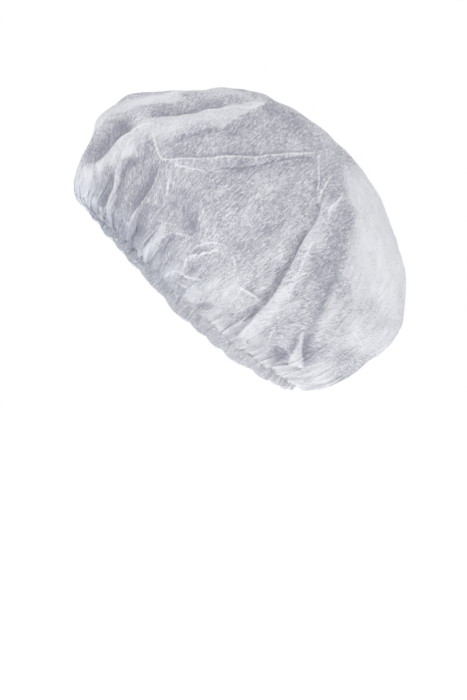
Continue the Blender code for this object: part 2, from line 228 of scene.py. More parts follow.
# One row for each lap, where the cloth is folded over itself: its path runs down, and the upper
# layer lies behind it. Height and width are in millimetres.
Lap = namedtuple("Lap", "side height width path")
LAPS = [Lap(*row) for row in (
    (LEFT, 9, 17, ((18, 81), (24, 65), (28, 51), (33, 33), (35, 19), (34, 4))),
    (RIGHT, 7.5, 16, ((22, 72), (32, 46), (35, 26), (35, 4))),
)]
# It rises to its ledge within LAP_LEDGE of its width, sinks LAP_SINK as deep in front of it, and
# fades over the last LAP_ENDS of its path.
LAP_LEDGE, LAP_SINK, LAP_ENDS, LAP_REACH = 0.24, 0.8, 0.022, 0.1
# The upper layer slides over the lower one by LAP_OVERHANG, from a crisp edge back over
# LAP_RETURN, and less over the first LAP_START of its height.
LAP_OVERHANG, OVERHANG_REACH = 0.005, 0.05
LAP_EDGE, LAP_RETURN, LAP_START = 0.003, 0.009, 0.35

# One row for each small place where the cloth lies double, with crisp edges all round. Its weight
# is how much whiter it is, or with a minus greyer. Corners are in hundredths, as a path's points.
Patch = namedtuple("Patch", "side weight corners")
PATCHES = [Patch(*row) for row in (
    (LEFT, 1, ((56, 24), (64, 6), (72, 10))),
    (LEFT, -0.7, ((37, -4), (42, -2), (45, -5), (41, -6))),
    (RIGHT, 0.8, ((60, 34), (60, 16), (70, 18))),
)]
NO_PATCH = -0.05

# One row for each crease line: its weight is how brightly the pressed cloth shows, as a painted
# highlight, or with a minus how dark a painted shadow lies along it.
Crease = namedtuple("Crease", "side weight path")
CREASES = [Crease(*row) for row in (
    (LEFT, 1, ((-72, 46), (-64, 41), (-56, 39), (-46, 48), (-39, 54))),
    (LEFT, 0.8, ((-55, 39), (-47, 42), (-39, 46), (-34, 47))),
    (LEFT, 0.6, ((-25, 34), (-16, 24))),
    (LEFT, 0.6, ((-76, 38), (-74, 28), (-70, 19), (-65, 11))),
    (LEFT, 0.5, ((-95, 32), (-93, 38), (-89, 44))),
    (LEFT, 0.7, ((-86, 19), (-82, 31), (-78, 41), (-72, 49))),
    (LEFT, 0.8, ((-50, 38), (-46, 31), (-40, 25))),
    (LEFT, 0.6, ((-48, 26), (-44, 21), (-39, 20))),
    (LEFT, 0.9, ((-42, 16), (-37, 17), (-29, 21))),
    (LEFT, 0.6, ((-26, 21), (-26, 28), (-27, 32))),
    (LEFT, 0.7, ((-28, 13), (-28, 17), (-19, 21))),
    (LEFT, 0.6, ((25, 3), (32, 19))),
    (LEFT, 0.6, ((44, 18), (48, 6))),
    (LEFT, 0.6, ((30, 58), (35, 42), (41, 27))),
    (LEFT, 0.5, ((-28, 17), (-29, 8), (-29, -3))),
    (LEFT, 0.5, ((-36, 18), (-37, 9), (-37, 1))),
    (LEFT, 0.4, ((23, 95), (39, 89), (50, 83), (64, 78))),
    (LEFT, 0.4, ((77, 38), (91, 35))),
    (LEFT, 0.8, ((-44, 50), (-29, 62), (-10, 79), (1, 90))),
    (LEFT, -0.7, ((-35, 50), (-21, 63), (-9, 77), (2, 87))),
    (LEFT, 0.6, ((-60, 66), (-51, 75), (-42, 83), (-36, 92))),
    (LEFT, 1.4, ((-56, 37), (-52, 24), (-50, 14), (-49, 6))),
    (LEFT, 0.5, ((-84, 40), (-79, 51))),
    (LEFT, 0.6, ((-27, 32), (-19, 26), (-16, 20))),
    (LEFT, 0.6, ((-39, 21), (-33, 24))),
    (LEFT, 0.5, ((-41, 12), (-41, 4))),
    (LEFT, 0.5, ((3, -6), (14, 3))),
    (LEFT, -0.9, ((-15, 12), (-12, 17), (-7, 23))),
    (LEFT, 1.2, ((-12, 5), (-14, 10), (-14, 14), (-9, 20), (-4, 26))),
    (LEFT, 0.9, ((-16, 15), (-15, 19), (-11, 24), (-6, 27), (-1, 28))),
    (LEFT, 1.1, ((-18, -4), (-16, 3), (-11, 5), (-6, 7), (0, 10))),
    (LEFT, 0.8, ((-14, 1), (-7, 2), (0, 3))),
    (LEFT, 1.5, ((14, 18), (24, 19), (33, 19))),
    (LEFT, 0.7, ((-26, 35), (-19, 29), (-13, 22))),
    (LEFT, 0.4, ((-2, 28), (5, 25), (15, 19))),
    (LEFT, 1.6, ((13, 87), (14, 81), (15, 77), (17, 73), (20, 70))),
    (LEFT, 1.3, ((24, 82), (25, 75), (25, 71), (28, 67))),
    (LEFT, 1, ((-1, 91), (5, 84), (11, 78), (17, 71))),
    (LEFT, 0.9, ((23, 5), (27, 12), (30, 18))),
    (LEFT, 0.9, ((28, 1), (30, 10), (32, 18))),
    (LEFT, 0.7, ((48, 81), (60, 74), (75, 63))),
    (LEFT, 0.5, ((30, 82), (40, 80), (52, 77))),
    (LEFT, 0.6, ((75, 63), (73, 71), (74, 77))),
    (LEFT, 0.8, ((46, 7), (57, 11), (64, 10), (76, 9))),
    (LEFT, 0.6, ((72, 79), (76, 65), (79, 53))),
    (LEFT, 0.4, ((49, 80), (60, 73), (73, 63), (76, 56))),
    (LEFT, 0.4, ((40, 48), (37, 36), (36, 24))),
    (RIGHT, 0.8, ((-60, 52), (-20, 66), (16, 70))),
    (RIGHT, 0.5, ((30, 92), (52, 70), (66, 62))),
    (RIGHT, 0.4, ((88, 40), (74, 30), (66, 12))),
    (RIGHT, 0.7, ((46, 6), (52, 30), (48, 52))),
    (RIGHT, 0.6, ((-66, 38), (-66, 20), (-58, 2))),
    (RIGHT, -0.6, ((-24, 32), (-10, 26), (6, 30))),
    (RIGHT, 0.7, ((-20, 40), (-6, 28), (20, 20))),
)]
CREASE_REACH = 0.006

# Pleats drawn up by the elastic, from fine ones at the edge to broad ones up the crown: how many
# go round, how far they stand out and lean over in millimetres, where up the crown they are
# highest, how far they last, and how they slant.
Pleat = namedtuple("Pleat", "count height lean peak spread slant")
PLEATS = (
    Pleat(96, 1.3, 0.6, 0.02, 0.08, 0.3),
    Pleat(61, 1.0, 1.2, 0.06, 0.12, -0.4),
    Pleat(31, 0.9, 1.4, 0.12, 0.18, 0.5),
    Pleat(15, 0.6, 0.0, 0.30, 0.28, -0.4),
)
# How far the pleats drift and shift round the cap, how sharp their crests are, how strong they are
# on average and how much that varies. Then the waves round the cap that make them uneven: how
# many, and the share of each.
PLEAT_DRIFT, PLEAT_SHIFT, PLEAT_CREST = 0.045, 1.3, 0.8
PLEAT_MEAN, PLEAT_VARIES = 0.7, 0.5
UNEVEN_WAVES = ((2, 0.30), (3, 0.25), (5, 0.20), (7, 0.15), (11, 0.10))

# The crown's mesh rows: up the casing, over the shoulder, and from LANDING to the peak. The last
# ones are spaced evenly by measuring the crown at PROBES points on every PROBE_COLUMNS-th column.
CASING_ROWS, SHOULDER_ROWS, CROWN_ROWS = 7, 6, 134
LANDING, LAST_ROW = 0.035, 0.985
PROBES, PROBE_COLUMNS = 400, 20
SHOULDER_PULL = 0.4

# How much longer the cloth is than the space it fills, round the cap at shares of the way up, and
# up the cap. How stiffly it bends each way, and how firmly it is held to its first shape.
SPARE_HEIGHTS = (0.00, 0.05, 0.12, 0.20, 0.35, 0.55, 0.80, 1.00)
SPARE_ROUND = (0.78, 0.78, 0.42, 0.20, 0.09, 0.045, 0.03, 0.03)
SPARE_UP = 0.014
BEND_ROUND, HOLD = 0.007, 0.008
BEND_UP = (0.25, 0.25, 0.16, 0.07, 0.03, 0.03, 0.03, 0.03)
DIAGONAL_PULL = 0.35
# How the gathering runs: its rounds, how much of its speed the cloth keeps and takes up in each,
# the first rows that the elastic holds back, and the nudges, by column and by point, that start it.
GATHER_ROUNDS, GATHER_SEED = 180, 5
SPEED_KEPT, SPEED_GAIN = 0.8, 0.4
HELD_ROWS = 10
COLUMN_NUDGE, POINT_NUDGE = 0.00015, 0.00005
# How far a pleat may stand out before it is eased back, and how much of the rest goes back.
MOST_PROUD, EASE_BACK = 0.0005, 0.3

# How many columns each way a tuck is measured against.
TUCK_REACH = 10

# The edge's scallops: how many, how far they hang, how sharp they are, and how much of that they
# have on average and more or less of.
RIM_LOBES, RIM_DROP, RIM_SHARPNESS = 27, 0.0042, 0.7
RIM_MEAN, RIM_VARIES = 0.6, 0.5
# The two waves of the edge, each with its count and seed, and the share of each wave.
EDGE_WAVES, WAVE_SHARES = ((61, 1), (37, 5)), (0.6, 0.4)
# The hem's own fine gathers: their waves, how deep they are and how much they lift the cloth, and
# the insets from which they start and over which they rise.
HEM_WAVES, HEM_PUCKER, PUCKER_LIFT = ((110, 3), (83, 8)), 0.0008, 0.6
PUCKER_START, PUCKER_RISE = 0.001, 0.003

# The hem's section, from its outer face down, round the elastic and up inside: inset from the
# cloth's outer face, height above the lower edge, and share of the edge's ruffle.
HEM_SECTION = (
    (0.0004, 0.0035, 1.0), (0.0004, 0.0018, 1.0), (0.0005, 0.0006, 1.0), (0.0009, 0.0001, 1.0),
    (0.0018, 0.0000, 0.9), (0.0030, 0.0000, 0.8), (0.0038, 0.0003, 0.7), (0.0043, 0.0010, 0.6),
    (0.0044, 0.0022, 0.5), (0.0043, 0.0036, 0.5), (0.0040, 0.0050, 0.5), (0.0034, 0.0060, 0.6),
    (0.0026, 0.0066, 0.7), (0.0018, 0.0067, 0.8), (0.0010, 0.0065, 1.0),
)

# Rows of taut panels between the gathers: where up the crown, and how many go round. Each panel
# is moved at random by a share of its width and of the way up, blends softly into the next one,
# and cuts in by PANEL_DEPTH at most.
PANEL_ROWS = ((0.13, 17), (0.30, 15), (0.48, 13), (0.66, 9), (0.84, 5), (0.98, 1))
PANEL_MOVE, PANEL_RISE = 0.3, 0.05
PANEL_BLEND, PANEL_DEPTH = 0.0004, 0.0025
PANEL_FACING, PANEL_GAPS, PANEL_SEED = 0.55, (-0.004, 0.03), 11

# Small random creases: how many waves, their lengths, and the mean of a folded wave. The panels
# and these start above the gathers, and are shallower on the cap's outline.
CRUMPLE_WAVES, CRUMPLE_LENGTHS, CRUMPLE_SEED = 14, (0.012, 0.04), 7
FOLDED_MEAN = 0.64
ROUGH_START, ROUGH_RISE, OUTLINE_ROUGH = 0.05, 0.08, 0.4

# The side of the square that the crown's UV map covers, and the height of the hem's strip on its
# own map.
CROWN_UV_SIDE, HEM_UV_HEIGHT = 0.6, 0.02

# The crown cloth's look: its plain lightness, and how much the thick and thin clouds, the streaks,
# the fibres, the folds' tones, the doubled places and the crease lines change it. The folds' tones
# and the crease lines are partly painted shade and painted highlights.
PLAIN_LIGHT, CLOUD_TONE, STREAK_TONE, FIBRE_TONE = 0.50, 0.95, 2.1, 1.2
FOLD_TONE, PATCH_TONE, CREASE_TONE = 1.25, 0.32, 0.75
# Half the width of a crease line and how far it wavers, and how crisp a doubled place's edge is.
CREASE_HALF_WIDTH, CREASE_WAVER, PATCH_EDGE = 0.0010, 0.003, 0.0004
# How high the pattern stands on the cloth, for its relief.
FIBRE_RELIEF, STREAK_RELIEF, CLOUD_RELIEF, CREASE_RELIEF = 0.00010, 0.0004, 0.0008, 0.0006
HEM_RELIEF, RIB_RELIEF = 0.00012, 0.0002

# The soft lights: name, place, side in metres and power in watts. All point at the cap.
LIGHTS = (
    ("key light", (1.7, -1.5, 1.5), 1.4, 19.0),
    ("fill light", (1.5, 1.6, 0.4), 1.6, 5.5),
    ("top light", (-0.6, 0.2, 1.9), 1.4, 8.0),
)
# The picture's middle, back from and above the cap's own middle, and the camera's sensor in mm.
PICTURE_MIDDLE = (0.034, -0.0405)
SENSOR_HEIGHT = 36


class CapSettings(PropertyGroup):
    """Sizes and colours of the cap's cloth, its elastic and the stage."""

    columns: IntProperty(
        name="Columns", description="Mesh columns round the cap", default=660, min=64)
    pleat_strength: FloatProperty(
        name="Pleats", description="How deep the gathers at the edge are", default=1.0, min=0)
    panel_strength: FloatProperty(
        name="Panels", description="How flat the cloth lies between its folds", default=0.75, min=0)
    crumple: FloatProperty(
        name="Crumple", description="Slope of the small random creases", default=0.03, min=0)
    edge_ruffle: FloatProperty(
        name="Edge ruffle", description="How far the gathered edge waves in and out",
        default=0.0011, unit="LENGTH")
    # The two ends of the crown cloth's lightness: the deep end also takes the painted shade, and
    # the light end the painted highlights, of the folds and creases.
    cloth_light: FloatVectorProperty(
        name="Cloth, light", description="Colour where the cloth is dense or double",
        default=(0.86, 0.858, 0.87), size=3, subtype="COLOR")
    cloth_deep: FloatVectorProperty(
        name="Cloth, deep", description="Colour where the cloth is thin",
        default=(0.29, 0.29, 0.355), size=3, subtype="COLOR")
    # The gathered rim is painted with a bluish shade, strongest at the front, blending between
    # these two colours.
    rim_shade_light: FloatVectorProperty(
        name="Gathers, light", description="Colour of the crests of the gathers at the rim",
        default=(0.735, 0.755, 0.80), size=3, subtype="COLOR")
    rim_shade_deep: FloatVectorProperty(
        name="Gathers, deep", description="Colour between the gathers at the rim",
        default=(0.31, 0.325, 0.395), size=3, subtype="COLOR")
    hem_light: FloatVectorProperty(
        name="Hem, light", description="Colour of the doubled edge",
        default=(0.80, 0.805, 0.835), size=3, subtype="COLOR")
    hem_deep: FloatVectorProperty(
        name="Hem, deep", description="Colour in the folds of the doubled edge",
        default=(0.50, 0.51, 0.56), size=3, subtype="COLOR")
    elastic_light: FloatVectorProperty(
        name="Elastic, light", description="Colour of the elastic's ribs",
        default=(0.82, 0.82, 0.80), size=3, subtype="COLOR")
    elastic_deep: FloatVectorProperty(
        name="Elastic, deep", description="Colour between the elastic's ribs",
        default=(0.62, 0.62, 0.61), size=3, subtype="COLOR")
    floor_size: FloatProperty(
        name="Floor size", description="Length of the floor's side", default=40.0, unit="LENGTH")
    floor_drop: FloatProperty(
        name="Floor drop", description="How far the floor lies under the cap's middle",
        default=0.45, unit="LENGTH")
    camera_distance: FloatProperty(
        name="Camera distance", description="From the camera to the cap's middle plane",
        default=2.5, unit="LENGTH")
    view_height: FloatProperty(
        name="View height", description="Height of the picture at the cap's middle plane",
        default=0.567, unit="LENGTH")


def climb(along, column):
    """One column of LEVELS as a smooth curve, read at shares of the way up."""
    knots = np.array([row.along for row in LEVELS])
    values = np.array([getattr(row, column) for row in LEVELS])
    last = len(knots) - 1
    before = np.maximum(np.arange(last + 1) - 1, 0)
    after = np.minimum(np.arange(last + 1) + 1, last)
    slopes = (values[after] - values[before]) / (knots[after] - knots[before])
    low = np.clip(np.searchsorted(knots, along, side="right") - 1, 0, last - 1)
    span = knots[low + 1] - knots[low]
    t = (along - knots[low]) / span
    rise = values[low + 1] - values[low]
    bend = (1 - t) * (slopes[low] * span - rise) - t * (slopes[low + 1] * span - rise)
    return values[low] + t * rise + t * (1 - t) * bend


def edge_dip(turn):
    """How far the gathered edge dips at the cap's sides."""
    return EDGE_DIP * np.sin(turn) ** 2 * (1 - EDGE_DIP_LEAN * np.cos(turn))


def smooth_crown(turn, along):
    """Points of the smooth crown. turn runs from 0 at the front, through the left side."""
    grip = climb(along, "grip")
    front = np.cos(turn) > 0
    end_rise = np.where(front, climb(along, "front_rise"), climb(along, "back_rise"))
    end_swell = np.where(front, climb(along, "front_swell"), climb(along, "back_swell"))
    reach = np.where(front, FRONT_REACH, BACK_REACH)
    length = grip * EDGE_LENGTH / 2 + (1 - grip) * end_swell * reach
    width = grip * EDGE_WIDTH / 2 + (1 - grip) * climb(along, "side_swell") * SIDE_REACH
    backward = -np.cos(turn)
    height = end_rise * backward**2 + climb(along, "side_rise") * np.sin(turn) ** 2
    return np.stack([
        np.sin(turn) * width * (1 + (1 - grip) * BACK_FULLNESS * backward),
        backward * length + PEAK_SETBACK * along**PEAK_TIGHTNESS,
        height * CROWN_HEIGHT - grip * edge_dip(turn),
    ], axis=-1)


def unit(vectors):
    """The same directions, one long."""
    return vectors / np.linalg.norm(vectors, axis=-1, keepdims=True)


def crown_directions(turn, along):
    """Directions out of the smooth crown and round it."""
    step = 0.01
    upper = np.minimum(along + step, 1 - step)
    up = smooth_crown(turn, upper) - smooth_crown(turn, upper - step)
    around = smooth_crown(turn + step, upper - step) - smooth_crown(turn - step, upper - step)
    return unit(np.cross(around, up)), unit(around)


def rim_out(turn):
    """Directions out of the rim, level with the opening."""
    return unit(np.stack(
        [np.sin(turn) * EDGE_LENGTH, -np.cos(turn) * EDGE_WIDTH, 0 * turn], axis=-1))


def rim_points(turn, inset, height):
    """Points of the casing: inset from the cloth's outer face, height above its lower edge."""
    x, y = np.sin(turn) * EDGE_WIDTH / 2, -np.cos(turn) * EDGE_LENGTH / 2
    drop = scallop(turn) * np.clip(1 - height / CASING_HEIGHT, 0, 1)
    rim = np.stack([x, y, height - edge_dip(turn) - drop], axis=-1)
    return rim - rim_out(turn) * np.broadcast_to(inset, turn.shape)[..., None]


def wander(turn, seed):
    """-1 to 1 round the cap: a slow, uneven wave that closes on itself."""
    total = 0
    for count, share in UNEVEN_WAVES:
        total = total + share * np.sin(count * turn + seed * (1.3 + 0.7 * count))
    return total


def pleat_phase(turn, count, seed):
    """Where each point lies within its pleat, as an angle. Pleats are uneven in width."""
    drift = PLEAT_DRIFT * count * wander(turn, seed)
    return count * turn + drift + PLEAT_SHIFT * np.sin(7 * turn + seed)


def pleats(turn, along, strength):
    """How far the pleats push the cloth out, and how far they lean round the cap."""
    out, lean = 0, 0
    for seed, pleat in enumerate(PLEATS):
        bell = np.exp(-(((along - pleat.peak) / pleat.spread) ** 2))
        place = pleat_phase(turn + pleat.slant * along, pleat.count, seed)
        uneven = (PLEAT_MEAN + PLEAT_VARIES * wander(2 * turn, seed + 4)) * bell * strength
        crest = 1 - 2 * np.abs(np.sin(place / 2)) ** PLEAT_CREST
        out = out - pleat.height * MM * (uneven * crest + 0.5 * bell)
        lean = lean + pleat.lean * MM * uneven * np.sin(place)
    return out, lean


def scallop(turn):
    """How far the casing's lower edge hangs under the elastic, in metres."""
    lobe = np.abs(np.sin(pleat_phase(turn, RIM_LOBES, 6) / 2)) ** RIM_SHARPNESS
    return RIM_DROP * lobe * (RIM_MEAN + RIM_VARIES * wander(2 * turn, 9))


def two_waves(turn, waves):
    """-1 to 1 round the cap: two rows of uneven pleats, each given by its count and seed."""
    first, second = (
        share * np.sin(pleat_phase(turn, *wave)) for share, wave in zip(WAVE_SHARES, waves))
    return first + second


def ease(share):
    """A soft step from 0 to 1, as share goes from 0 to 1."""
    share = np.clip(share, 0, 1)
    return share**2 * (3 - 2 * share)


def fold_fade(off, width):
    """1 near a fold's path, falling to 0 at the fold's width from it."""
    return 1 - ease((off / width - FOLD_FULL) / (1 - FOLD_FULL))


def side_view(path):
    """A path's points in metres, from hundredths of the reaches and of the crown's height."""
    return np.array([
        (y / 100 * (BACK_REACH if y > 0 else FRONT_REACH), z / 100 * CROWN_HEIGHT)
        for y, z in path])


def curved(path):
    """A path in metres as a smooth curve through its points."""
    points = side_view(path)
    if len(points) == 2:
        return points
    ends = np.concatenate([[2 * points[0] - points[1]], points, [2 * points[-1] - points[-2]]])
    curve = []
    for a, b, c, d in zip(ends, ends[1:], ends[2:], ends[3:]):
        square = a - 2.5 * b + 2 * c - d / 2
        cube = 1.5 * (b - c) + (d - a) / 2
        for t in (0, 0.25, 0.5, 0.75):
            curve.append(b + t * ((c - a) / 2 + t * (square + t * cube)))
    return np.array(curve + [points[-1]])


def path_distance(seen, corners):
    """Distance to a path in the side view, plus on its left and minus on its right, and how far
    along it the nearest place is, in metres from its nearer end."""
    best = np.full(len(seen), 1e3)
    signed, place = best.copy(), np.zeros(len(seen))
    runs = np.diff(corners, axis=0)
    lengths = np.hypot(*runs.T)
    passed, total = 0, lengths.sum()
    for start, run, length in zip(corners, runs, lengths):
        away = seen - start
        share = np.clip(away @ run / length**2, 0, 1)
        off = away - share[:, None] * run
        far = np.hypot(off[:, 0], off[:, 1])
        left = off[:, 1] * run[0] - off[:, 0] * run[1] > 0
        closer = far < best
        best = np.where(closer, far, best)
        signed = np.where(closer, np.where(left, far, -far), signed)
        place = np.where(closer, passed + share * length, place)
        passed += length
    return signed, np.minimum(place, total - place)


def near_path(points, entry, reach):
    """Which points on the entry's side are within reach of its path, their distances to it, and
    how far they are from its nearer end, both in metres."""
    corners = curved(entry.path)
    seen = points[:, 1:]
    low, high = corners.min(axis=0) - reach, corners.max(axis=0) + reach
    inside = ((seen > low) & (seen < high)).all(axis=1)
    chosen = np.flatnonzero(inside & ((points[:, 0] * entry.side > 0) | (entry.side == BOTH)))
    return chosen, *path_distance(seen[chosen], corners)


def patch_distance(seen, corners):
    """Distance to a patch's edge in the side view: plus inside it, minus outside."""
    ring = side_view(corners + corners[:1])
    inside = np.zeros(len(seen), bool)
    for (y0, z0), (y1, z1) in zip(ring, ring[1:]):
        crosses = (z0 > seen[:, 1]) != (z1 > seen[:, 1])
        at = y0 + (seen[:, 1] - z0) / (z1 - z0 + 1e-12) * (y1 - y0)
        inside ^= crosses & (seen[:, 0] < at)
    far = np.abs(path_distance(seen, ring)[0])
    return np.where(inside, far, -far)


def near_middle(points):
    """0 on the cap's middle plane, where its outline is, rising to 1 away from it."""
    return 1 - np.exp(-((points[:, 0] / MIDDLE_FADE) ** 2))


def fold_height(points):
    """How far the folds and laps push the cloth out."""
    total = np.zeros(len(points))
    for fold in FOLDS:
        if fold.height:
            width, edge = fold.width * MM, max(fold.edge * MM, LEAST_EDGE)
            chosen, off, place = near_path(points, fold, width)
            rise = ease(off / edge + 1) * fold_fade(off, width)
            total[chosen] += rise * ease(place / FOLD_ENDS) * fold.height * MM
    for lap in LAPS:
        chosen, off, place = near_path(points, lap, LAP_REACH)
        off = off / (lap.width * MM)
        proud = np.tanh(off / LAP_LEDGE) * np.exp(-np.abs(off)) * np.where(off < 0, LAP_SINK, 1)
        total[chosen] += proud * ease(place / LAP_ENDS) * lap.height * MM
    return total * near_middle(points)


def fold_tones(points):
    """The folds' whiter and greyer places, partly the cloth's density and partly painted shade and
    highlights, on as few sheets as keep them apart. Gives for each sheet the tone at each point,
    and how deep inside its edge the point lies, in edge widths."""
    sheets = []
    for fold in FOLDS:
        width, edge = fold.width * MM, fold.edge * MM
        chosen, off, place = near_path(points, fold, width)
        fade = fold_fade(off, width) * (1 - ease((-off - edge) / TONE_SPILL))
        tone, depth = np.zeros(len(points)), np.ones(len(points))
        tone[chosen] = fade * ease(place / max(FOLD_ENDS, FOLD_END_SHARE * width)) * fold.tone
        if fold.side != BOTH:
            tone *= ease(np.abs(points[:, 0]) / TONE_FADE)
        depth[chosen] = off / edge
        toned = tone != 0
        for sheet in sheets:
            if not np.any((sheet[0] != 0) & toned):
                sheet[1][toned] = depth[toned]
                sheet[0] += tone
                break
        else:
            sheets.append([tone, np.where(toned, depth, 1)])
    return sheets


def lap_overhang(points):
    """How far the upper layer of each lap slides over the lower one."""
    slide = np.zeros_like(points)
    step = 0.0005
    for lap in LAPS:
        chosen, off, place = near_path(points, lap, OVERHANG_REACH)
        seen, corners = points[chosen, 1:], curved(lap.path)
        ahead = path_distance(seen + (step, 0), corners)[0] - off
        above = path_distance(seen + (0, step), corners)[0] - off
        way = np.stack([0 * off, ahead, above], axis=-1) / step
        amount = ease(off / LAP_EDGE + 0.5) * np.exp(-np.maximum(off, 0) / LAP_RETURN)
        amount = amount * ease(place / LAP_ENDS)
        top, bottom = side_view(lap.path)[[0, -1], 1]
        amount = amount * np.clip((top - seen[:, 1]) / (LAP_START * (top - bottom)), 0, 1)
        slide[chosen] -= way * (amount * LAP_OVERHANG)[:, None]
    return slide * near_middle(points)[:, None]


def panel_height(points, out):
    """How far flat panels, each on a tangent plane of the crown, stand off the smooth crown."""
    draw = np.random.default_rng(PANEL_SEED)
    turn = np.concatenate([
        2 * pi * (np.arange(count) + draw.uniform(-PANEL_MOVE, PANEL_MOVE, count)) / count
        for _, count in PANEL_ROWS])
    level = np.concatenate([
        np.clip(along + draw.uniform(-PANEL_RISE, PANEL_RISE, count), 0, LAST_ROW)
        for along, count in PANEL_ROWS])
    lift = np.zeros(len(points))
    for seat, face in zip(smooth_crown(turn, level), crown_directions(turn, level)[0]):
        facing = out @ face
        gap = (seat - points) @ face / np.maximum(facing, PANEL_FACING)
        gap = np.where(facing > PANEL_FACING, gap, 1.0)
        lift += np.exp(-np.clip(gap, *PANEL_GAPS) / PANEL_BLEND)
    least = -PANEL_BLEND * np.log(np.maximum(lift, 1e-30))
    return np.minimum(least, PANEL_DEPTH) - PANEL_DEPTH


def crumple(points, slope):
    """Small random creases: a sum of folded waves in fixed random directions."""
    draw = np.random.default_rng(CRUMPLE_SEED)
    total = np.zeros(len(points))
    for _ in range(CRUMPLE_WAVES):
        direction = unit(draw.normal(size=3))
        length = draw.uniform(*CRUMPLE_LENGTHS)
        wave = np.abs(np.sin(points @ direction * pi / length + draw.uniform(0, pi)))
        total += (wave - FOLDED_MEAN) * length
    return total * slope


def worn(points):
    """From the cap's own axes to the angle it is worn at."""
    c, s = cos(OPENING_TILT), sin(OPENING_TILT)
    y, z = points[:, 1], points[:, 2]
    return np.stack([points[:, 0], y * c + z * s, z * c - y * s], axis=-1)


def crown_surface(turn, along, cap):
    """Points of the crown's cloth, the places on the smooth crown that they stand over, and the
    directions out of it there."""
    base = smooth_crown(turn, along)
    out, around = crown_directions(turn, along)
    pleat_out, lean = pleats(turn, along, cap.pleat_strength)
    free = np.clip((along - ROUGH_START) / ROUGH_RISE, 0, 1)
    rough = crumple(base, cap.crumple) + panel_height(base, out) * cap.panel_strength
    rough = rough * free * (OUTLINE_ROUGH + (1 - OUTLINE_ROUGH) * near_middle(base))
    push = pleat_out + fold_height(base) + rough
    leant = base + around * lean[:, None]
    return leant + out * push[:, None] + lap_overhang(base), leant, out


def columns_round(cap):
    """The turn of each mesh column."""
    return 2 * pi * np.arange(cap.columns) / cap.columns


def crown_grid(cap):
    """The crown's cloth before it is gathered, as rows of points from the edge up. Gives the
    points, the smooth crown under them, each row's share of the way up, and the directions out."""
    turn = columns_round(cap)
    probe = np.linspace(LANDING, LAST_ROW, PROBES)
    probed = turn[::PROBE_COLUMNS]
    lines = smooth_crown(np.repeat(probed, PROBES), np.tile(probe, len(probed)))
    steps = np.linalg.norm(np.diff(lines.reshape(-1, PROBES, 3), axis=1), axis=2).mean(axis=0)
    run = np.r_[0, np.cumsum(steps)]
    levels = np.interp(np.linspace(0, run[-1], CROWN_ROWS), run, probe)
    points, smooth, out = crown_surface(
        np.tile(turn, CROWN_ROWS), np.repeat(levels, cap.columns), cap)

    wave = cap.edge_ruffle * two_waves(turn, EDGE_WAVES)
    heights = np.linspace(CASING_START, SHOULDER_HEIGHT, CASING_ROWS)
    casing = [rim_points(turn, -wave, height) for height in heights]
    top, end = casing[-1], points[: cap.columns]
    after = points[2 * cap.columns : 3 * cap.columns]
    reach = np.linalg.norm(end - top, axis=1)[:, None]
    leave = top + (0, 0, 1) * reach * SHOULDER_PULL
    arrive = end - unit(after - end) * reach * SHOULDER_PULL
    shoulder = []
    for t in np.arange(1, SHOULDER_ROWS + 1) / (SHOULDER_ROWS + 1):
        near, far = top * (1 - t) + leave * 3 * t, arrive * 3 * (1 - t) + end * t
        shoulder.append(near * (1 - t) ** 2 + far * t**2)
    below = CASING_ROWS + SHOULDER_ROWS
    rim = smooth_crown(turn, np.zeros_like(turn))
    shape = (below + CROWN_ROWS, cap.columns, 3)
    return (
        np.concatenate([*casing, *shoulder, points]).reshape(shape),
        np.concatenate([np.tile(rim, (below, 1)), smooth]).reshape(shape),
        np.concatenate([np.zeros(below), levels]),
        np.concatenate([np.tile(rim_out(turn), (below, 1)), out]).reshape(shape),
    )


def spans(grid, rows, columns):
    """From each point to the one so many rows up and columns round."""
    ahead = np.roll(grid, -columns, axis=1)
    return ahead[rows:] - (grid[:-rows] if rows else grid)


